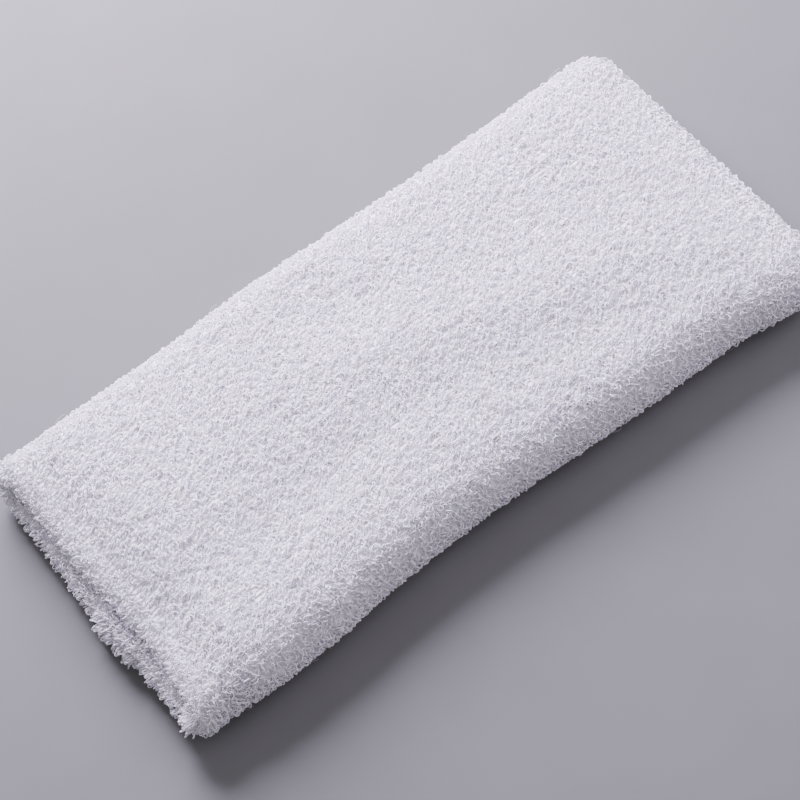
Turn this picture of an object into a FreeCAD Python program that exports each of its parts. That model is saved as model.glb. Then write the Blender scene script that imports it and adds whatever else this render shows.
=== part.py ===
import FreeCAD, Part
import math
import os
import Sketcher

# A double-walled terry sweatband, lying flat. It is one knitted terry tube, turned half inside
# itself, so that its loops face out and in. The two turned folds are the mouths of the sleeve. The
# tube's cut ends meet halfway along the inner wall, where a closing seam joins them.
#
# Frame: +X along the sleeve, from mouth to mouth. +Y across the flattened band. +Z up. The origin is
# under the middle of the band, on the surface that it lies on. Sizes are in millimetres.

SIZES = {
    "band_length": 154.0,       # fold to fold
    "band_width": 75.0,         # crease to crease, lying flat
    "passage_height": 4.4,      # what stays open between the upper and the lower wall
    "pile_height": 1.2,         # terry loops, lightly pressed
    "ground_thickness": 0.5,    # the knitted ground that holds the loops
    "layer_gap": 0.8,           # between the two ground layers of a wall
    "elastic_diameter": 0.45,   # covered elastic yarn
    "elastic_pitch": 3.0,       # from one elastic yarn to the next along the sleeve
    "elastic_clearance": 0.02,  # between an elastic yarn and the ground that it is laid on
    "seam_thread": 0.3,         # thread of the closing seam
    "seam_bite": 1.2,           # how far a stitch reaches each side of the joint
    "stitch_pitch": 3.0,        # from one stitch to the next, round the sleeve
    "stitch_slant": 0.7,        # how far round the sleeve a stitch moves on as it crosses the joint
}

# Sizes that follow from the sheet, as expressions.
WALL = "(2 * sizes.pile_height + 2 * sizes.ground_thickness + sizes.layer_gap)"
HALF_THICKNESS = f"(sizes.passage_height / 2 + {WALL})"
HALF_STRAIGHT = f"(sizes.band_width / 2 - {HALF_THICKNESS})"
STRAIGHT_END = f"(sizes.band_length / 2 - {WALL} / 2)"
WALL_MIDDLE = f"({HALF_THICKNESS} - {WALL} / 2)"

# Radii of the long creases, from the outside of the band to its passage.
OUTSIDE = HALF_THICKNESS
UNDER_OUTER_PILE = f"({HALF_THICKNESS} - sizes.pile_height)"
UNDER_OUTER_GROUND = f"({WALL_MIDDLE} + sizes.layer_gap / 2)"
OVER_INNER_GROUND = f"({WALL_MIDDLE} - sizes.layer_gap / 2)"
OVER_INNER_PILE = "(sizes.passage_height / 2 + sizes.pile_height)"
PASSAGE = "(sizes.passage_height / 2)"
YARN_STANDOFF = "(sizes.elastic_diameter / 2 + sizes.elastic_clearance)"

# Radii of a mouth's fold, from the core of the wall outwards.
FOLD_CORE = "(sizes.layer_gap / 2)"
FOLD_GROUND = "(sizes.layer_gap / 2 + sizes.ground_thickness)"
FOLD_SURFACE = f"({WALL} / 2)"

UP = FreeCAD.Vector(0, 0, 1)
QUARTER = math.pi / 2

# Sketcher's numbers for the points of an element, and its root point.
START, END, CENTRE = 1, 2, 3
ROOT = (-1, 1)

doc = FreeCAD.newDocument("sweatband")


def make_sheet():
    """The driving dimensions, one row each: a name, and a value with that name as its alias."""
    sheet = doc.addObject("Spreadsheet::Sheet", "sizes")
    for row, (name, value) in enumerate(SIZES.items(), start=1):
        sheet.set(f"A{row}", name)
        sheet.set(f"B{row}", str(value))
        sheet.setAlias(f"B{row}", name)
    doc.recompute()
    return sheet


def make_body(name, turned=False):
    """An empty body at the middle of the band's thickness; turned swaps its ends along the sleeve."""
    body = doc.addObject("PartDesign::Body", name)
    body.Label = name
    body.Placement = FreeCAD.Placement(FreeCAD.Vector(), FreeCAD.Rotation(UP, 180 if turned else 0))
    body.setExpression("Placement.Base.z", HALF_THICKNESS)
    return body


def origin_item(body, role):
    """One of the planes or axes of a body's own origin."""
    return next(item for item in body.Origin.OriginFeatures if item.Role == role)


def make_sketch(body, name, plane):
    """A sketch on one of the body's own origin planes."""
    sketch = body.newObject("Sketcher::SketchObject", name)
    sketch.AttachmentSupport = [(origin_item(body, plane), "")]
    sketch.MapMode = "FlatFace"
    return sketch


def join(sketch, kind, pairs):
    """Tie the ends of elements together, as Coincident or Tangent."""
    for first, first_point, second, second_point in pairs:
        sketch.addConstraint(Sketcher.Constraint(kind, first, first_point, second, second_point))


def bind(sketch, name, expression, *constraint):
    """Add a dimension to a sketch and bind it to the sheet."""
    index = sketch.addConstraint(Sketcher.Constraint(*constraint))
    sketch.renameConstraint(index, name)
    sketch.setExpression(f"Constraints.{name}", expression)


def draw_arc(sketch, centre, radius, start):
    """A half circle, anticlockwise from the start angle."""
    circle = Part.Circle(centre, UP, radius)
    return sketch.addGeometry(Part.ArcOfCircle(circle, start, start + 2 * QUARTER))


def draw_line(sketch, start, end):
    return sketch.addGeometry(Part.LineSegment(start, end))


def draw_racetrack(sketch, name, radius, inside=None):
    """Two straight runs joined by half circles.

    The first one in a sketch is centred on the origin. Another gives inside, the two arcs of the
    first, and shares their centres. Returns its own two arcs.
    """
    half = FreeCAD.Vector(30, 0, 0)
    rise = FreeCAD.Vector(0, 5 if inside is None else 4, 0)
    right = draw_arc(sketch, half, rise.y, -QUARTER)
    left = draw_arc(sketch, -half, rise.y, QUARTER)
    top = draw_line(sketch, half + rise, rise - half)
    bottom = draw_line(sketch, -half - rise, half - rise)
    corners = [(right, END, top, START), (top, END, left, START)]
    corners += [(left, END, bottom, START), (bottom, END, right, START)]
    join(sketch, "Tangent", corners)
    sketch.addConstraint(Sketcher.Constraint("Equal", right, left))
    if inside is None:
        sketch.addConstraint(Sketcher.Constraint("Symmetric", right, CENTRE, left, CENTRE, *ROOT))
        sketch.addConstraint(Sketcher.Constraint("Horizontal", top))
        bind(sketch, "half_straight", HALF_STRAIGHT, "DistanceX", *ROOT, right, CENTRE, half.x)
    else:
        centres = [(right, CENTRE, inside[0], CENTRE), (left, CENTRE, inside[1], CENTRE)]
        join(sketch, "Coincident", centres)
    bind(sketch, name, radius, "Radius", right, rise.y)
    return right, left


def make_layer(name, outer_radius, inner_radius, whole=False, turned=False):
    """A knitted layer of the sleeve: over its whole straight length, or from the middle to one end."""
    body = make_body(name, turned)
    sketch = make_sketch(body, f"{name}_section", "YZ_Plane")
    arcs = draw_racetrack(sketch, "outer_radius", outer_radius)
    draw_racetrack(sketch, "inner_radius", inner_radius, inside=arcs)
    run = body.newObject("PartDesign::Pad", f"{name}_run")
    run.Profile = sketch
    run.Midplane = whole
    run.setExpression("Length", f"2 * {STRAIGHT_END}" if whole else STRAIGHT_END)
    return body


def sweep_round(body, profile, path_radius, along):
    """Sweep a profile round a racetrack that stands at a distance along the sleeve."""
    path = make_sketch(body, f"{body.Label}_path", "YZ_Plane")
    path.setExpression("AttachmentOffset.Base.z", along)
    draw_racetrack(path, "path_radius", path_radius)
    pipe = body.newObject("PartDesign::AdditivePipe", f"{body.Label}_sweep")
    pipe.Profile = profile
    pipe.Spine = path
    return pipe


def draw_fold_section(sketch, outer_radius, inner_radius):
    """Half a ring, open towards the band: a layer where it turns into the sleeve."""
    centre = FreeCAD.Vector(70, 4, 0)
    far, near = FreeCAD.Vector(0, 2, 0), FreeCAD.Vector(0, 1, 0)
    outer = draw_arc(sketch, centre, far.y, -QUARTER)
    inner = draw_arc(sketch, centre, near.y, -QUARTER)
    top = draw_line(sketch, centre + far, centre + near)
    bottom = draw_line(sketch, centre - near, centre - far)
    corners = [(outer, END, top, START), (top, END, inner, END), (inner, START, bottom, START)]
    corners += [(bottom, END, outer, START), (outer, CENTRE, inner, CENTRE)]
    join(sketch, "Coincident", corners)
    for side in (top, bottom):
        sketch.addConstraint(Sketcher.Constraint("Vertical", side))
        sketch.addConstraint(Sketcher.Constraint("PointOnObject", outer, CENTRE, side))
    bind(sketch, "along", STRAIGHT_END, "DistanceX", *ROOT, outer, CENTRE, centre.x)
    bind(sketch, "height", WALL_MIDDLE, "DistanceY", *ROOT, outer, CENTRE, centre.y)
    bind(sketch, "outer_radius", outer_radius, "Radius", outer, far.y)
    bind(sketch, "inner_radius", inner_radius, "Radius", inner, near.y)


def make_fold(name, outer_radius, inner_radius, turned=False):
    """A layer of a mouth, where the tube turns into itself."""
    body = make_body(name, turned)
    section = make_sketch(body, f"{name}_section", "XZ_Plane")
    draw_fold_section(section, outer_radius, inner_radius)
    sweep_round(body, section, WALL_MIDDLE, STRAIGHT_END)
    return body


def make_yarns(name, path_radius, first_place, count, turned=False):
    """Covered elastic yarns laid on a ground layer: one ring, repeated along the sleeve."""
    body = make_body(name, turned)
    section = make_sketch(body, f"{name}_section", "XZ_Plane")
    start = FreeCAD.Vector(10, 4, 0)
    circle = section.addGeometry(Part.Circle(start, UP, 1))
    bind(section, "along", first_place, "DistanceX", *ROOT, circle, CENTRE, start.x)
    bind(section, "height", path_radius, "DistanceY", *ROOT, circle, CENTRE, start.y)
    bind(section, "yarn_radius", "sizes.elastic_diameter / 2", "Radius", circle, 1)
    ring = sweep_round(body, section, path_radius, first_place)
    rows = body.newObject("PartDesign::LinearPattern", f"{name}_rows")
    rows.Originals = [ring]
    rows.Direction = (origin_item(body, "X_Axis"), [""])
    rows.Occurrences = count
    rows.setExpression("Length", f"{count - 1} * sizes.elastic_pitch")
    body.Tip = rows
    return body


def round_the_sleeve(distance, half_straight, radius):
    """The point of a racetrack in the YZ plane at a distance from the top of its +Y crease."""
    crease = math.pi * radius
    run = 2 * half_straight
    distance %= 2 * (crease + run)
    side = 1
    if distance >= crease + run:
        distance -= crease + run
        side = -1
    if distance < crease:
        angle = QUARTER - distance / radius
        y = half_straight + radius * math.cos(angle)
        z = radius * math.sin(angle)
    else:
        y = half_straight - (distance - crease)
        z = -radius
    return FreeCAD.Vector(0, side * y, side * z)


def make_closing_seam(name, sheet):
    """The stitches that cross the joint between the tube's cut ends, all round the inner wall."""
    size = {alias: sheet.get(alias) for alias in SIZES}
    wall = 2 * size["pile_height"] + 2 * size["ground_thickness"] + size["layer_gap"]
    half_thickness = size["passage_height"] / 2 + wall
    half_straight = size["band_width"] / 2 - half_thickness
    thread_radius = size["seam_thread"] / 2
    over_ground = size["passage_height"] / 2 + size["pile_height"] + size["ground_thickness"]
    path_radius = over_ground + thread_radius + size["elastic_clearance"]
    length = 2 * math.pi * path_radius + 4 * half_straight
    count = round(length / size["stitch_pitch"])
    bite = FreeCAD.Vector(size["seam_bite"], 0, 0)
    stitches = []
    for index in range(count):
        place = index * length / count
        start = round_the_sleeve(place, half_straight, path_radius) - bite
        end = round_the_sleeve(place + size["stitch_slant"], half_straight, path_radius) + bite
        across = end - start
        stitches.append(Part.makeCylinder(thread_radius, across.Length, start, across))
    seam = doc.addObject("Part::Feature", name)
    seam.Label = name
    seam.Shape = Part.makeCompound(stitches)
    seam.Placement = FreeCAD.Placement(FreeCAD.Vector(0, 0, half_thickness), FreeCAD.Rotation())
    return seam


def make_sweatband(sheet):
    """Every sub-part, from the outside of the band inwards."""
    outer_yarn_path = f"{UNDER_OUTER_GROUND} - {YARN_STANDOFF}"
    inner_yarn_path = f"{OVER_INNER_GROUND} + {YARN_STANDOFF}"
    outer_rows = 2 * int(sheet.get("band_length") / 2 / sheet.get("elastic_pitch"))
    inner_rows = outer_rows // 2 - 1
    first_row = f"-{(outer_rows - 1) / 2} * sizes.elastic_pitch"
    made = [
        make_layer("outer_terry_pile", OUTSIDE, UNDER_OUTER_PILE, whole=True),
        make_layer("outer_ground_knit", UNDER_OUTER_PILE, UNDER_OUTER_GROUND, whole=True),
        make_yarns("outer_elastic_yarns", outer_yarn_path, first_row, outer_rows),
        make_closing_seam("closing_seam_stitches", sheet),
    ]
    for side, turned in (("right", False), ("left", True)):
        made += [
            make_fold(f"{side}_fold_pile", FOLD_SURFACE, FOLD_GROUND, turned),
            make_fold(f"{side}_fold_ground", FOLD_GROUND, FOLD_CORE, turned),
            make_yarns(
                f"{side}_inner_elastic", inner_yarn_path, "sizes.elastic_pitch", inner_rows, turned
            ),
            make_layer(f"{side}_inner_ground", OVER_INNER_GROUND, OVER_INNER_PILE, turned=turned),
            make_layer(f"{side}_inner_pile", OVER_INNER_PILE, PASSAGE, turned=turned),
        ]
    return made


def check(made):
    """Stop if any object failed, or any sub-part has no valid solid."""
    doc.recompute()
    for item in doc.Objects:
        if {"Invalid", "Error"} & set(item.State):
            raise RuntimeError(f"{item.Label} failed: {item.State}")
    for item in made:
        if item.Shape.isNull() or not item.Shape.isValid() or not item.Shape.Solids:
            raise RuntimeError(f"{item.Label} has no valid solid")


def write(made):
    """One STEP file for each sub-part, named as its node."""
    os.makedirs("parts", exist_ok=True)
    for item in made:
        item.Shape.exportStep(f"parts/{item.Label}.step")
        shape = item.Shape
        low, high = shape.BoundBox.XMin, shape.BoundBox.XMax
        print(f"{item.Label}: {len(shape.Solids)} solids, {shape.Volume:.1f} mm3")
        print(f"    x {low:.2f} to {high:.2f} mm")


sweatband = make_sweatband(make_sheet())
check(sweatband)
write(sweatband)
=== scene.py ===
import math

import bpy
import numpy as np
from mathutils import Matrix, Vector


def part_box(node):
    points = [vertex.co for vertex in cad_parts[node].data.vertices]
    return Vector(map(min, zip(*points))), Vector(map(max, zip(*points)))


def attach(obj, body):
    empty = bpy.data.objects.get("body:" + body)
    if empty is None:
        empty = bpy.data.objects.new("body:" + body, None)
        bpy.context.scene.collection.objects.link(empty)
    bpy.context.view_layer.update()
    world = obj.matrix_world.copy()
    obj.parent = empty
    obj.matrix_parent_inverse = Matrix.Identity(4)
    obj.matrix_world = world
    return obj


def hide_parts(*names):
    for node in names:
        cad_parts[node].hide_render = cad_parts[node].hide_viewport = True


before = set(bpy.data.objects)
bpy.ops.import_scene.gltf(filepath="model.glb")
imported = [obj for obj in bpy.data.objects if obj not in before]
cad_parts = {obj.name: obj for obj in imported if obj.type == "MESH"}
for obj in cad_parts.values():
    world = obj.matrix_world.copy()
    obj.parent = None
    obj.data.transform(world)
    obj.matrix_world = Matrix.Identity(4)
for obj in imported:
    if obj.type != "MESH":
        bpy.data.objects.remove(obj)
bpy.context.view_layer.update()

# A white terry sweatband: one knitted tube, turned half inside itself, lying flat on a tabletop.
# Its knitted ground is one closed surface, and each terry loop on it is a bent tube of yarn.
#
# Metres. +X runs from mouth to mouth, +Y across the band and +Z up. A place on the ground has two
# coordinates. "Along" starts at the left mouth and runs over the outside to the right mouth, round
# its fold, back along the inside and round the left fold. "Around" starts at the middle of the
# underside and runs round the sleeve, past the front crease at -Y first.

MM = 0.001
DRAWS = np.random.default_rng(20)

# ---------------------------------------------------------------- sizes

# Sizes of the band, from the frame.
PILE_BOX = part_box("outer_terry_pile")
MIDDLE = (PILE_BOX[0].z + PILE_BOX[1].z) / 2
HALF_WIDTH = PILE_BOX[1].y
HALF_STRAIGHT = HALF_WIDTH - (PILE_BOX[1].z - MIDDLE)
OUTER_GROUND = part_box("outer_ground_knit")[1].z - MIDDLE
INNER_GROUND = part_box("right_inner_pile")[1].z - MIDDLE
WALL_RADIUS = (OUTER_GROUND + INNER_GROUND) / 2
GROUND_HALF = (OUTER_GROUND - INNER_GROUND) / 2
STRAIGHT_END = PILE_BOX[1].x

# The folds at the mouths.
FOLD_PUFF = 0.5 * MM        # the fabric is thicker where it turns into the sleeve
FOLD_REACH = 5 * MM         # how far from the fold it is thicker
FOLD_SETBACK = 1.2 * MM     # room for the longer loops that stand on the folds
FOLD_RADIUS = GROUND_HALF + FOLD_PUFF

# Distances on the ground.
RUN_END = STRAIGHT_END - FOLD_SETBACK
RUN = 2 * RUN_END                   # straight stretch from fold to fold
TURN = math.pi * FOLD_RADIUS        # way round one fold
CREASE = math.pi * WALL_RADIUS      # way round one long crease
ALONG = 4 * RUN_END + 2 * math.pi * FOLD_RADIUS
AROUND = 4 * HALF_STRAIGHT + 2 * math.pi * WALL_RADIUS
CREASE_MIDDLE = HALF_STRAIGHT + CREASE / 2
UNDERSIDE = HALF_STRAIGHT + 0.25 * math.pi * WALL_RADIUS    # a quarter of the way up the front crease
TOPSIDE = HALF_STRAIGHT + 0.95 * math.pi * WALL_RADIUS      # nearly over it

# How soft cloth lies: the sleeve loses a share of its height at the mouths and at the long creases.
MOUTH_PRESS = 0.26
MOUTH_PRESS_REACH = 9 * MM
CREASE_PRESS = 0.16
CREASE_START = 0.55         # share of the half width from which the walls come together
LEFT_LIP_SINK = 2.3 * MM    # how far the upper lip of a mouth sinks onto the lower one
RIGHT_LIP_SINK = 1.1 * MM
LIP_SINK_REACH = 6 * MM

# How far the corners move towards -X, in mm. That rounds the right ones, the back one most, and
# draws the left ones out.
LEFT_PULL = 0.3
RIGHT_PULL = 1.6
RIGHT_BACK_PULL = 1.1
CORNER_START_Y = 28 * MM
CORNER_START_X = 0.8        # share of the run

# Soft hills along a line: centre, spread and height, in mm.
FRONT_CREASE_OUT = ((-58, 11, 1.5), (-8, 26, -1.7), (68, 10, 2.2), (-76, 4, 0.5), (-42, 7, 0.8))
FRONT_CREASE_SHIFT = -0.4
BACK_CREASE_OUT = ((-12, 18, 0.8), (38, 20, -0.35))
BACK_CREASE_SHIFT = -0.55
UPPER_LIP_BACK = ((-10, 20, 1.8),)
UPPER_LIP_SHIFT = 1.5
LEFT_MOUTH_BULGE = ((-1, 13, 0.8),)

# Soft hills and hollows of the upper wall: x, y, length, width, heading in degrees and height, in mm.
UNDULATIONS = (
    (25, -6, 45, 9, -20, 1.1),
    (-38, -13, 36, 9, 5, -1.2),
    (-5, 19, 12, 9, 0, -0.9),
    (38, -20, 28, 8, -6, -0.7),
    (-60, 12, 14, 14, 30, 0.4),
    (64, 22, 12, 12, 0, 0.3),
)

# The ground's mesh.
GROUND_MESH = 1.2 * MM
GROUND_RISE = 1.35 * MM     # the crowded feet of the loops fill the pile up to here
CREASE_DIP = 0.42 * MM      # along the creases the loops are shorter, and the ground lies lower
CREASE_DIP_REACH = 7 * MM
GROUND_OVER_FLOOR = 0.1 * MM

# ---------------------------------------------------------------- the sleeve's surface


def smooth(value):
    """A smooth step from 0 to 1."""
    value = np.clip(value, 0, 1)
    return value * value * (3 - 2 * value)


def hill(value, centre, spread):
    """A soft hill of height 1."""
    return np.exp(-(((value - centre) / spread) ** 2))


def hills(value, rows):
    """The sum of hills given as centre, spread and height, all in mm."""
    return sum(height * hill(value, centre * MM, spread * MM) for centre, spread, height in rows)


def near_mouths(x, reach):
    """1 at both ends of the straight run and past them, and less towards the middle."""
    return hill(np.minimum(np.abs(x), RUN_END), RUN_END, reach)


def meridian(along):
    """The ground's section along the sleeve: place along X, and depth from the middle of the wall."""
    along = np.mod(along, ALONG)
    on_outside = along < RUN
    on_right = (along >= RUN) & (along < RUN + TURN)
    on_inside = (along >= RUN + TURN) & (along < 2 * RUN + TURN)
    on_left = along >= 2 * RUN + TURN
    right_angle = (along - RUN) / FOLD_RADIUS
    left_angle = (along - 2 * RUN - TURN) / FOLD_RADIUS
    x = np.where(on_outside, along - RUN_END, 0)
    x = np.where(on_right, RUN_END + FOLD_RADIUS * np.sin(right_angle), x)
    x = np.where(on_inside, RUN_END - (along - RUN - TURN), x)
    x = np.where(on_left, -RUN_END - FOLD_RADIUS * np.sin(left_angle), x)
    half = GROUND_HALF + FOLD_PUFF * near_mouths(x, FOLD_REACH)
    depth = np.where(on_outside, half, -half)
    depth = np.where(on_right, FOLD_RADIUS * np.cos(right_angle), depth)
    depth = np.where(on_left, -FOLD_RADIUS * np.cos(left_angle), depth)
    return x, depth


def racetrack(around):
    """The middle of the wall, seen along the sleeve: a place in YZ and its outward direction."""
    around = np.mod(around, AROUND)
    over = HALF_STRAIGHT + CREASE
    back = over + 2 * HALF_STRAIGHT
    front_angle = np.clip((around - HALF_STRAIGHT) / WALL_RADIUS, 0, math.pi)
    back_angle = np.clip((around - back) / WALL_RADIUS, 0, math.pi)
    angle = -math.pi / 2 - front_angle - back_angle
    ny, nz = np.cos(angle), np.sin(angle)
    centre = np.where(around < HALF_STRAIGHT, -around, -HALF_STRAIGHT)
    centre = np.where(around > over, around - over - HALF_STRAIGHT, centre)
    centre = np.where(around > back, HALF_STRAIGHT, centre)
    centre = np.where(around > back + CREASE, HALF_STRAIGHT - (around - back - CREASE), centre)
    return centre + WALL_RADIUS * ny, WALL_RADIUS * nz, ny, nz


def undulation(x, y):
    """Height that the upper wall's hills and hollows add."""
    height = np.zeros_like(x)
    for cx, cy, length, width, heading, rise in UNDULATIONS:
        turn = math.radians(heading)
        dx, dy = x - cx * MM, y - cy * MM
        along = dx * math.cos(turn) + dy * math.sin(turn)
        across = dy * math.cos(turn) - dx * math.sin(turn)
        height += rise * MM * hill(along, 0, length * MM) * hill(across, 0, width * MM)
    return height


def settled_height(x, y, z, upper):
    """The walls come together at the mouths and creases, and each upper lip sinks onto the lower."""
    to_crease = smooth((np.abs(y) / HALF_WIDTH - CREASE_START) / (1 - CREASE_START))
    z = z * (1 - MOUTH_PRESS * near_mouths(x, MOUTH_PRESS_REACH)) * (1 - CREASE_PRESS * to_crease)
    z = z + upper * undulation(x, y)
    sink = np.where(x < 0, LEFT_LIP_SINK, RIGHT_LIP_SINK)
    return z - upper * sink * near_mouths(x, LIP_SINK_REACH) * (1 - to_crease)


def settled_width(x, y, front, back):
    """The long creases wander in plan."""
    front_out = hills(x, FRONT_CREASE_OUT) + FRONT_CREASE_SHIFT
    back_out = hills(x, BACK_CREASE_OUT) + BACK_CREASE_SHIFT
    return y + (back * back_out - front * front_out) * MM


def settled_length(x, y, upper, back):
    """The corners move. The left mouth bulges, and its upper lip is drawn back, less at the corners."""
    corner = smooth((np.abs(y) - CORNER_START_Y) / (HALF_WIDTH - CORNER_START_Y)) ** 2
    near_end = smooth((np.abs(x) / RUN_END - CORNER_START_X) / (1 - CORNER_START_X))
    pull = np.where(x < 0, LEFT_PULL, RIGHT_PULL + RIGHT_BACK_PULL * back) * corner * near_end
    to_left = smooth(-x / RUN_END) ** 2
    drawn_back = upper * (UPPER_LIP_SHIFT + hills(y, UPPER_LIP_BACK)) * (1 - 0.5 * corner)
    lip = to_left * (drawn_back - hills(y, LEFT_MOUTH_BULGE))
    return x - pull * MM + lip * MM


def settle(x, y, z):
    """Turn the plain flattened tube into one that lies as soft cloth does. z is from the middle."""
    upper = smooth(z / WALL_RADIUS / 2 + 0.5)
    front = smooth(-y / HALF_WIDTH)
    back = smooth(y / HALF_WIDTH)
    return (
        settled_length(x, y, upper, back),
        settled_width(x, y, front, back),
        settled_height(x, y, z, upper),
    )


def wall_point(x, around, depth):
    """A point of the wall, at a depth from its middle."""
    x, around, depth = np.broadcast_arrays(x, around, depth)
    y, z, ny, nz = racetrack(around)
    x, y, z = settle(x, y + ny * depth, z + nz * depth)
    return np.stack([x, y, z + MIDDLE], axis=-1)


def surface(along, around):
    """A point of the ground's surface."""
    x, depth = meridian(along)
    return wall_point(x, around, depth)


def unit(vectors):
    """The vectors at length 1."""
    return vectors / np.maximum(np.linalg.norm(vectors, axis=-1, keepdims=True), 1e-12)


def surface_frame(along, around):
    """A point of the surface with its directions along the sleeve, round it, and out of the fabric."""
    step = 0.2 * MM
    forward = unit(surface(along + step, around) - surface(along - step, around))
    sideways = unit(surface(along, around + step) - surface(along, around - step))
    out = unit(np.cross(forward, sideways))
    return surface(along, around), forward, np.cross(out, forward), out


# ---------------------------------------------------------------- meshes


def mesh_piece(name, points, faces, materials, face_material=None):
    """A smooth mesh object from points and lists of same-sided faces."""
    sizes = np.concatenate([np.full(len(group), group.shape[1]) for group in faces])
    corners = np.concatenate([group.ravel() for group in faces])
    mesh = bpy.data.meshes.new(name)
    mesh.vertices.add(len(points))
    mesh.vertices.foreach_set("co", points.ravel())
    mesh.loops.add(len(corners))
    mesh.loops.foreach_set("vertex_index", corners)
    mesh.polygons.add(len(sizes))
    mesh.polygons.foreach_set("loop_start", np.concatenate([[0], np.cumsum(sizes)[:-1]]))
    for material in materials:
        mesh.materials.append(material)
    if face_material is not None:
        mesh.polygons.foreach_set("material_index", face_material)
    mesh.polygons.foreach_set("use_smooth", np.ones(len(sizes), bool))
    mesh.update(calc_edges=True)
    mesh.validate()
    piece = bpy.data.objects.new(name, mesh)
    bpy.context.scene.collection.objects.link(piece)
    return piece


def cross_directions(paths, closed):
    """Two directions across each path, carried along it without twisting."""
    if closed:
        tangents = unit(np.roll(paths, -1, axis=1) - np.roll(paths, 1, axis=1))
    else:
        tangents = unit(np.gradient(paths, axis=1))
    across = np.empty_like(paths)
    across[:, 0] = unit(np.cross(tangents[:, 0], np.array([0.3, 0.5, 0.81])))
    for step in range(1, paths.shape[1]):
        carried = across[:, step - 1]
        along = np.sum(carried * tangents[:, step], axis=1, keepdims=True)
        across[:, step] = unit(carried - along * tangents[:, step])
    return across, np.cross(tangents, across)


def tubes(paths, radii, sides, closed=False):
    """Round tubes along many paths of the same length: points, side faces and end caps."""
    count, steps, _ = paths.shape
    across, upward = cross_directions(paths, closed)
    angles = np.linspace(0, 2 * math.pi, sides, endpoint=False)
    ring = across[:, :, None] * np.cos(angles)[:, None] + upward[:, :, None] * np.sin(angles)[:, None]
    points = paths[:, :, None] + ring * radii[:, :, None, None]
    index = np.arange(count * steps * sides).reshape(count, steps, sides)
    following = np.roll(index, -1, axis=1) if closed else index[:, 1:]
    here = index if closed else index[:, :-1]
    quads = np.stack(
        [here, np.roll(here, -1, axis=2), np.roll(following, -1, axis=2), following], axis=-1
    )
    faces = [quads.reshape(-1, 4)]
    if not closed:
        faces.append(np.concatenate([index[:, 0, ::-1], index[:, -1]]))
    return points.reshape(-1, 3), faces


# ---------------------------------------------------------------- terry loops

FOOT_DEPTH = 0.3 * MM       # how far a loop's feet reach below the ground's surface
FOOT_SPREAD = (0.15, 0.4)   # mm from the loop's middle to a foot
YARN_WOBBLE = 0.07 * MM
COURSE_JITTER = 0.35        # unevenness of the knitted rows, as a share of the pitch
WALE_JITTER = 0.22


def loop_paths(place, forward, sideways, out, shape, steps):
    """The centre line of each terry loop.

    A loop leaves the ground at one foot, swells to its width, crowns at its height and comes back to
    its other foot. It leans over as it rises, towards its heading, and its yarn twists it.
    """
    part = np.linspace(0, 1, steps)[None, :]
    rise = np.sin(math.pi * part) ** 0.8
    height, width, foot = (shape[key][:, None] for key in ("height", "width", "foot"))
    lean, heading = shape["lean"][:, None], shape["heading"][:, None]
    bend = lean * rise
    spread = -np.cos(math.pi * part) * foot - np.sin(2 * math.pi * part) * width / 2
    upward = height * rise * np.sinc(bend / math.pi) - FOOT_DEPTH * (1 - rise)
    outward = height * (1 - np.cos(bend)) / np.maximum(lean, 1e-3)
    towards = np.cos(heading) * forward + np.sin(heading) * sideways
    across = np.cross(out, towards)
    turn = shape["turn"][:, None] + shape["twist"][:, None] * rise
    wobble = YARN_WOBBLE * np.sin(9 * part + 6 * shape["turn"][:, None])
    flat = spread * np.cos(turn)
    deep = spread * np.sin(turn) + wobble
    leaned = np.cos(bend)[..., None] * towards[:, None] - np.sin(bend)[..., None] * out[:, None]
    paths = place[:, None] + upward[..., None] * out[:, None] + outward[..., None] * towards[:, None]
    return paths + flat[..., None] * across[:, None] + deep[..., None] * leaned


def draw(low, high, count):
    """Random values between low and high."""
    return DRAWS.uniform(low, high, count)


def loop_shapes(count, height, width, lean, twist, heading, turn=(-50, 50)):
    """Random loops within ranges; each range is (low, high), in mm and degrees.

    The heading is the way a loop leans, from along the sleeve at 0 to round it at 90. On the faces the
    fabric's nap gives it a narrow range.
    """
    return {
        "height": draw(*height, count) * MM,
        "width": draw(*width, count) * MM,
        "foot": draw(*FOOT_SPREAD, count) * MM,
        "lean": np.radians(draw(*lean, count)),
        "heading": np.radians(draw(*heading, count)),
        "turn": np.radians(draw(*turn, count)),
        "twist": np.radians(draw(*twist, count)) * DRAWS.choice([-1, 1], count),
    }


def scatter(along_range, around_range, course, wale):
    """Places of loops in knitted rows: courses round the sleeve and wales along it, a little uneven."""
    courses = max(1, round((along_range[1] - along_range[0]) / course))
    wales = max(1, round((around_range[1] - around_range[0]) / wale))
    row, column = np.meshgrid(np.arange(courses), np.arange(wales), indexing="ij")
    along = (row + 0.5 * (column % 2) + draw(-COURSE_JITTER, COURSE_JITTER, row.shape)) / courses
    around = (column + draw(-WALE_JITTER, WALE_JITTER, row.shape)) / wales
    along = along_range[0] + along.ravel() * (along_range[1] - along_range[0])
    around = around_range[0] + around.ravel() * (around_range[1] - around_range[0])
    return along, around


def grow(along_range, around_range, pitch, steps, **ranges):
    """Loops over a stretch of the surface. The pitch is in mm, along and around."""
    along, around = scatter(along_range, around_range, pitch[0] * MM, pitch[1] * MM)
    place, forward, sideways, out = surface_frame(along, around)
    return loop_paths(place, forward, sideways, out, loop_shapes(len(along), **ranges), steps)


# ---------------------------------------------------------------- zones of the pile

# Stretches of the surface.
OUTSIDE = (2 * MM, RUN - 1 * MM)
WHOLE = (0, AROUND)
UPPER = (UNDERSIDE, AROUND - UNDERSIDE)
LOWER = (-UNDERSIDE, UNDERSIDE)
INSIDE_DEPTH = 16 * MM      # how far into the sleeve loops can be seen

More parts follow.
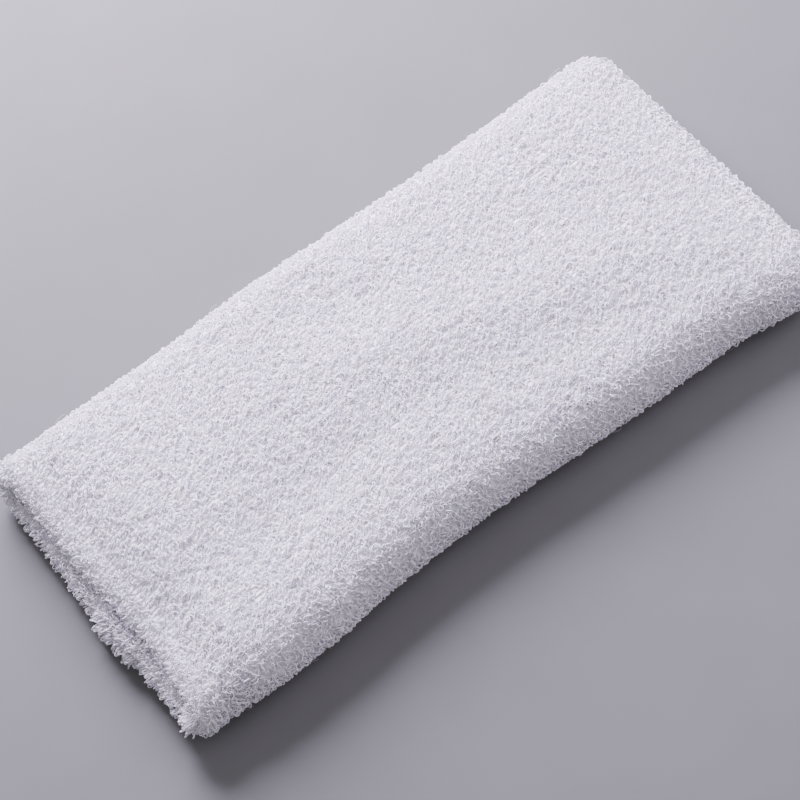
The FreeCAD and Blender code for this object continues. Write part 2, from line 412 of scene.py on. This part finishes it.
# Pitch of the loops along and around, in mm, and points on a loop's path.
FACE_PITCH = (0.68, 0.72)
CREASE_PITCH = (0.6, 0.62)
UNDERSIDE_PITCH = (0.9, 0.95)
BRUSH_PITCH = (0.5, 0.5)
FINE_POINTS = 11
FRINGE_POINTS = 10
COARSE_POINTS = 9

# Shapes of the loops, in mm and degrees.
FACE = dict(
    height=(1.9, 2.7), width=(0.6, 1.1), lean=(65, 120), twist=(0, 70), heading=(-17, 53), turn=(5, 75)
)
SHORT = dict(height=(1.4, 2.1), width=(0.45, 0.85), lean=(30, 90), twist=(0, 90), heading=(-60, 100))
FRINGE = dict(width=(0.25, 0.55), twist=(0, 90), heading=(-180, 180))
BRUSH = dict(width=(0.2, 0.4), lean=(0, 30), twist=(0, 60), heading=(-180, 180))
CORNER = dict(height=(1.8, 2.4), width=(0.7, 1.2), lean=(30, 85), twist=(0, 90), heading=(100, 260))
ROUND = dict(height=(1.3, 1.8), width=(0.6, 1.0), lean=(5, 60), twist=(0, 120), heading=(-180, 180))
BEAD = dict(
    height=(1.6, 2.0), width=(0.8, 1.2), lean=(0, 25), twist=(0, 40), heading=(-30, 30), turn=(-35, 35)
)


def upper_loops():
    """The upper face with its nap leaning one way, and shorter loops along both creases."""
    return np.concatenate([
        grow(OUTSIDE, (TOPSIDE, AROUND - TOPSIDE), FACE_PITCH, FINE_POINTS, **FACE),
        grow(OUTSIDE, (UNDERSIDE, TOPSIDE), CREASE_PITCH, FINE_POINTS, **SHORT),
        grow(OUTSIDE, (AROUND - TOPSIDE, AROUND - UNDERSIDE), CREASE_PITCH, FINE_POINTS, **SHORT),
    ])


def left_mouth_loops():
    """A fringe on the left fold, with longer brushes in front of the middle and at the front crease."""
    fold = (ALONG - TURN, ALONG + 2 * MM)
    tip = (ALONG - 0.75 * TURN, ALONG - 0.35 * TURN)
    front_middle = (3 * MM, 15 * MM)
    front_crease = (HALF_STRAIGHT + 3 * MM, HALF_STRAIGHT + 8 * MM)
    return np.concatenate([
        grow(fold, UPPER, (0.55, 0.6), FRINGE_POINTS, height=(1.5, 2.4), lean=(15, 65), **FRINGE),
        grow(fold, LOWER, (0.5, 0.55), FRINGE_POINTS, height=(1.9, 3.0), lean=(5, 40), **FRINGE),
        grow(tip, front_middle, BRUSH_PITCH, FRINGE_POINTS, height=(2.8, 4.0), **BRUSH),
        grow(tip, front_crease, BRUSH_PITCH, FRINGE_POINTS, height=(2.6, 3.8), **BRUSH),
    ])


def corner_loops():
    """The large loops of the front left corner, which lean out of the mouth."""
    over_corner = (HALF_STRAIGHT - 2 * MM, HALF_STRAIGHT + 24 * MM)
    return grow((0, 12 * MM), over_corner, (1.1, 1.1), FINE_POINTS, **CORNER)


def right_edge_loops():
    """Round loops that stand in rows along the right fold."""
    edge = (RUN + 0.15 * TURN, RUN + 0.6 * TURN)
    return grow(edge, WHOLE, (0.8, 1.15), FINE_POINTS, **BEAD)


def inside_loops(start):
    """The loops that can be seen through a mouth."""
    return grow((start, start + INSIDE_DEPTH), WHOLE, FACE_PITCH, COARSE_POINTS, **FACE)


MAX_PIECE_FACES = 190_000
YARN_RADIUS = 0.15 * MM
YARN_SPREAD = (0.85, 1.15)  # thinnest and thickest yarn, as shares of the radius
FLOOR_GAP = 1.2             # yarn radii from the floor to the nearest yarn's middle


def pile_pieces(name, paths, yarn_radius, sides, yarns, node):
    """Terry loops as mesh pieces, split along the sleeve so that none is too heavy."""
    paths = paths[np.argsort(paths[:, 0, 0])]
    paths[..., 2] = np.maximum(paths[..., 2], FLOOR_GAP * yarn_radius)
    steps = paths.shape[1]
    quads_each = sides * (steps - 1)
    triangles_each = 2 * quads_each + 2 * (sides - 2)
    parts = math.ceil(len(paths) * triangles_each / MAX_PIECE_FACES)
    swell = 0.75 + 0.25 * np.sin(math.pi * np.linspace(0, 1, steps)) ** 0.3
    for number, group in enumerate(np.array_split(paths, parts), start=1):
        radii = yarn_radius * swell[None, :] * draw(*YARN_SPREAD, (len(group), 1))
        points, faces = tubes(group, radii, sides)
        tint = DRAWS.integers(0, len(yarns), len(group))
        face_tint = np.concatenate([np.repeat(tint, quads_each), tint, tint])
        piece = mesh_piece(f"{name}_{number:02d}", points, faces, yarns, face_tint)
        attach(piece, "root")
        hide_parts(node)


def make_pile(yarns):
    """Every terry loop: all zones are grown, and then each becomes mesh pieces."""
    upper = upper_loops()
    lower = grow(OUTSIDE, LOWER, UNDERSIDE_PITCH, COARSE_POINTS, **FACE)
    left = left_mouth_loops()
    corner = corner_loops()
    right = grow((RUN - 1 * MM, RUN + TURN), WHOLE, (0.62, 0.9), FINE_POINTS, **ROUND)
    right_edge = right_edge_loops()
    left_inside = inside_loops(ALONG - TURN - INSIDE_DEPTH)
    right_inside = inside_loops(RUN + TURN)
    for name, loops, thickness, sides, node in (
        ("upper_terry", upper, 1, 4, "outer_terry_pile"),
        ("corner_terry", corner, 1, 4, "outer_terry_pile"),
        ("lower_terry", lower, 1, 3, "outer_terry_pile"),
        ("left_mouth_terry", left, 0.8, 4, "left_fold_pile"),
        ("right_mouth_terry", right, 0.9, 5, "right_fold_pile"),
        ("right_edge_terry", right_edge, 1.15, 5, "right_fold_pile"),
        ("left_inner_terry", left_inside, 1, 3, "left_inner_pile"),
        ("right_inner_terry", right_inside, 1, 3, "right_inner_pile"),
    ):
        pile_pieces(name, loops, thickness * YARN_RADIUS, sides, yarns, node)


# ---------------------------------------------------------------- materials


def new_material(name):
    """A material with its nodes and links."""
    material = bpy.data.materials.new(name)
    material.use_nodes = True
    return material, material.node_tree.nodes, material.node_tree.links


def mottle(nodes, links, scale, dark, light):
    """A fine mottle between two shades as the base colour. Gives the coordinates it uses."""
    where = nodes.new("ShaderNodeTexCoord").outputs["Object"]
    noise = nodes.new("ShaderNodeTexNoise")
    noise.inputs["Scale"].default_value = scale
    shade = nodes.new("ShaderNodeValToRGB")
    shade.color_ramp.elements[0].color = (*dark, 1)
    shade.color_ramp.elements[1].color = (*light, 1)
    links.new(where, noise.inputs["Vector"])
    links.new(noise.outputs["Fac"], shade.inputs["Fac"])
    links.new(shade.outputs["Color"], nodes["Principled BSDF"].inputs["Base Color"])
    return where


def cotton_yarn(name, colour):
    """Soft white cotton: matt, with the sheen of fine fibres standing off the yarn."""
    material, nodes, _ = new_material(name)
    shader = nodes["Principled BSDF"]
    shader.inputs["Base Color"].default_value = (*colour, 1)
    shader.inputs["Roughness"].default_value = 0.8
    shader.inputs["Specular IOR Level"].default_value = 0.3
    shader.inputs["Sheen Weight"].default_value = 0.1
    shader.inputs["Sheen Roughness"].default_value = 0.4
    return material


def knitted_ground():
    """The fine ribs of the knit between the loops."""
    material, nodes, links = new_material("knitted_ground")
    shader = nodes["Principled BSDF"]
    shader.inputs["Roughness"].default_value = 0.85
    where = mottle(nodes, links, 900, (0.89, 0.87, 0.91), (0.96, 0.94, 0.97))
    ribs = nodes.new("ShaderNodeTexWave")
    ribs.bands_direction = "Y"
    ribs.inputs["Scale"].default_value = 300
    ribs.inputs["Distortion"].default_value = 2
    raised = nodes.new("ShaderNodeBump")
    raised.inputs["Distance"].default_value = 0.3 * MM
    links.new(where, ribs.inputs["Vector"])
    links.new(ribs.outputs["Fac"], raised.inputs["Height"])
    links.new(raised.outputs["Normal"], shader.inputs["Normal"])
    return material


def pale_floor():
    """A plain matt tabletop."""
    material, nodes, links = new_material("pale_floor")
    shader = nodes["Principled BSDF"]
    shader.inputs["Roughness"].default_value = 0.85
    shader.inputs["Specular IOR Level"].default_value = 0.3
    mottle(nodes, links, 60, (0.165, 0.167, 0.16), (0.185, 0.187, 0.18))
    return material


# ---------------------------------------------------------------- the other pieces

ELASTIC_PITCH = 3 * MM
ELASTIC_RADIUS = 0.2 * MM
STITCHES = 50
STITCH_BITE = 1.2 * MM      # half of a stitch's reach along X
STITCH_SLANT = 0.7 * MM
STITCH_DEPTH = -0.25 * MM   # from the wall's middle, towards the inside
STITCH_ARCH = 0.12 * MM
THREAD_RADIUS = 0.13 * MM
FIBRES = 260
FIBRE_RADIUS = 0.02 * MM
FIBRE_START = 1.2 * MM      # height above the ground


def make_ground():
    """The knitted ground: one closed surface, outside, folds and inside."""
    courses = round(ALONG / GROUND_MESH)
    wales = round(AROUND / GROUND_MESH)
    along, around = np.meshgrid(
        np.arange(courses) * ALONG / courses, np.arange(wales) * AROUND / wales, indexing="ij"
    )
    place, _, _, out = surface_frame(along, around)
    near_front = hill(around, CREASE_MIDDLE, CREASE_DIP_REACH)
    near_back = hill(around, AROUND - CREASE_MIDDLE, CREASE_DIP_REACH)
    rise = GROUND_RISE - CREASE_DIP * (near_front + near_back)
    points = (place + rise[..., None] * out).reshape(-1, 3)
    points[:, 2] = np.maximum(points[:, 2], GROUND_OVER_FLOOR)
    index = np.arange(courses * wales).reshape(courses, wales)
    next_course, next_wale = np.roll(index, -1, axis=0), np.roll(index, -1, axis=1)
    both = np.roll(next_course, -1, axis=1)
    quads = np.stack([index, next_wale, both, next_course], axis=-1).reshape(-1, 4)
    piece = mesh_piece("knitted_sleeve", points, [quads], [knitted_ground()])
    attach(piece, "root")
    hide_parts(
        "outer_ground_knit",
        "right_inner_ground",
        "left_inner_ground",
        "right_fold_ground",
        "left_fold_ground",
    )
    return piece


def make_elastic(name, node, depth, rubber):
    """Covered elastic yarns: rings round the sleeve, inside the wall, as many as the frame has."""
    low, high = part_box(node)
    rows = round((high.x - low.x) / ELASTIC_PITCH) + 1
    places = np.linspace(low.x, high.x, rows) * RUN_END / STRAIGHT_END
    around = np.linspace(0, AROUND, 160, endpoint=False)
    paths = wall_point(places[:, None], around[None, :], depth)
    points, faces = tubes(paths, np.full(paths.shape[:2], ELASTIC_RADIUS), 6, closed=True)
    piece = mesh_piece(name, points, faces, [rubber])
    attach(piece, "root")
    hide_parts(node)


def make_closing_seam(thread):
    """Stitches across the joint between the tube's cut ends, halfway along the inner wall."""
    part = np.linspace(-1, 1, 7)[None, :]
    around = np.arange(STITCHES)[:, None] * AROUND / STITCHES + STITCH_SLANT * (part + 1) / 2
    depth = STITCH_DEPTH + STITCH_ARCH * (1 - part**2)
    paths = wall_point(STITCH_BITE * part, around, depth)
    points, faces = tubes(paths, np.full(paths.shape[:2], THREAD_RADIUS), 8)
    piece = mesh_piece("closing_seam", points, faces, [thread])
    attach(piece, "root")
    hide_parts("closing_seam_stitches")


def make_stray_fibres(cotton):
    """A few fine fibres that have worked out of the yarn and stand off the surface."""
    along = draw(0, RUN, FIBRES)
    around = draw(UNDERSIDE, AROUND - UNDERSIDE, FIBRES)
    place, forward, sideways, out = surface_frame(along, around)
    part = np.linspace(0, 1, 14)[None, :, None]
    heading = draw(0, 2 * math.pi, (FIBRES, 1, 1))
    length = draw(1.5, 4.5, (FIBRES, 1, 1)) * MM
    curl = draw(0.3, 1.0, (FIBRES, 1, 1))
    towards = np.cos(heading) * forward[:, None] + np.sin(heading) * sideways[:, None]
    across = np.cross(out[:, None], towards)
    reach = length * part
    paths = place[:, None] + reach * np.sqrt(1 - 0.5 * part) * towards
    paths = paths + (FIBRE_START + 0.5 * curl * reach * (1.6 - part)) * out[:, None]
    paths = paths + 0.3 * length * np.sin(5 * curl * part) * across
    points, faces = tubes(paths, np.full(paths.shape[:2], FIBRE_RADIUS), 3)
    piece = mesh_piece("stray_fibres", points, faces, [cotton])
    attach(piece, "root")
    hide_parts("outer_terry_pile")


# ---------------------------------------------------------------- stage

LAMP_TINT = (0.84, 0.765, 1)
SURROUND_TINT = (0.93, 0.9, 1, 1)
SURROUND_STRENGTH = 0.45
VIEW_TARGET = Vector((-4.75, -4.0, 6.4)) * MM
VIEW_DISTANCE = 0.5897
VIEW_ELEVATION = math.radians(56.06)
VIEW_AZIMUTH = math.radians(21.3)
VIEW_ROLL = math.radians(-17.7)


def make_floor():
    """A plain tabletop under the band."""
    bpy.ops.mesh.primitive_plane_add(size=3)
    floor = bpy.context.object
    floor.name = "floor"
    floor.data.materials.append(pale_floor())


def area_light(name, place, size, power):
    """A round soft lamp, aimed at the band."""
    light = bpy.data.lights.new(name, "AREA")
    light.shape = "DISK"
    light.color = LAMP_TINT
    light.size = size
    light.energy = power
    lamp = bpy.data.objects.new(name, light)
    lamp.location = place
    lamp.rotation_euler = (-Vector(place)).to_track_quat("-Z", "Y").to_euler()
    bpy.context.scene.collection.objects.link(lamp)


def make_light():
    """A large soft key from behind, a fill from the front and an even surround."""
    area_light("key", (0.064, 0.34, 0.212), 0.28, 10.3)
    area_light("fill", (0.33, -0.12, 0.22), 0.3, 0.95)
    world = bpy.data.worlds.new("surround")
    world.use_nodes = True
    background = world.node_tree.nodes["Background"]
    background.inputs["Color"].default_value = SURROUND_TINT
    background.inputs["Strength"].default_value = SURROUND_STRENGTH
    bpy.context.scene.world = world


def make_camera():
    """A long lens above the front left, turned a little about its own axis."""
    level = math.cos(VIEW_ELEVATION)
    back = Vector((
        -math.sin(VIEW_AZIMUTH) * level,
        -math.cos(VIEW_AZIMUTH) * level,
        math.sin(VIEW_ELEVATION),
    ))
    right = back.cross(Vector((0, 0, -1))).normalized()
    up = back.cross(right)
    axes = Matrix((right, up, back)).transposed() @ Matrix.Rotation(VIEW_ROLL, 3, "Z")
    data = bpy.data.cameras.new("camera")
    data.lens = 135
    data.sensor_width = 36
    camera = bpy.data.objects.new("camera", data)
    camera.matrix_world = Matrix.Translation(VIEW_TARGET + back * VIEW_DISTANCE) @ axes.to_4x4()
    bpy.context.scene.collection.objects.link(camera)
    bpy.context.scene.camera = camera


# ---------------------------------------------------------------- the scene

make_camera()
make_light()
make_floor()
YARNS = [
    cotton_yarn("cotton_white", (0.95, 0.925, 0.97)),
    cotton_yarn("cotton_cool", (0.92, 0.9, 0.96)),
    cotton_yarn("cotton_warm", (0.96, 0.94, 0.95)),
]
sleeve = make_ground()
make_pile(YARNS)
for elastic_name, cad_node, yarn_depth in (
    ("outer_elastic", "outer_elastic_yarns", 0.2 * MM),
    ("right_elastic", "right_inner_elastic", -0.2 * MM),
    ("left_elastic", "left_inner_elastic", -0.2 * MM),
):
    make_elastic(elastic_name, cad_node, yarn_depth, YARNS[0])
make_closing_seam(YARNS[0])
make_stray_fibres(YARNS[0])
